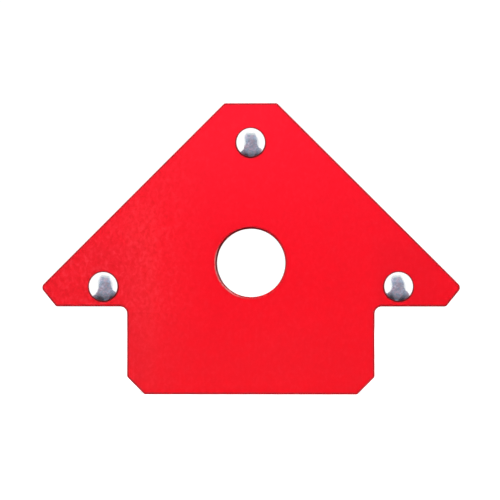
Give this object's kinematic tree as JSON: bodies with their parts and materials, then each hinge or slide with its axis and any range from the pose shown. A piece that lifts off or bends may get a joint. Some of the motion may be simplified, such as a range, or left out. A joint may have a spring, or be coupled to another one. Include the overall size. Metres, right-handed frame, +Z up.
{
  "type": "welding magnet holder",
  "caption": "Arrow-shaped magnetic welding holder: red steel plates riveted over ferrite magnets, with edges at 45, 90 and 135 degrees and a round centre hole.",
  "frame": {"origin": "the middle of the base edge, half way through the thickness, so that the part stands on its base at Z = 0", "axes": "+X to the right across the wings as seen from the front, +Y away from the viewer through the thickness, with the rivet heads' side at -Y, +Z up from the base to the nose"},
  "size_m": [0.119, 0.0161, 0.083],
  "materials": {
    "red_paint": "glossy red powder coat with a fine orange peel",
    "ferrite": "matt dark grey sintered ferrite, ground on its flat faces",
    "spacer_metal": "turned, lightly dulled",
    "rivet_plating": "bright nickel-plated steel"
  },
  "bodies": {
    "root": {"front_plate": "red_paint", "rear_plate": "red_paint", "ring_magnet": "ferrite", "left_upper_slope_magnet": "ferrite", "left_lower_slope_magnet": "ferrite", "right_upper_slope_magnet": "ferrite", "right_lower_slope_magnet": "ferrite", "left_stem_magnet": "ferrite", "right_stem_magnet": "ferrite", "left_base_magnet": "ferrite", "right_base_magnet": "ferrite", "nose_spacer": "spacer_metal", "left_wing_spacer": "spacer_metal", "right_wing_spacer": "spacer_metal", "nose_rivet": "rivet_plating", "left_wing_rivet": "rivet_plating", "right_wing_rivet": "rivet_plating"}
  },
  "joints": []
}
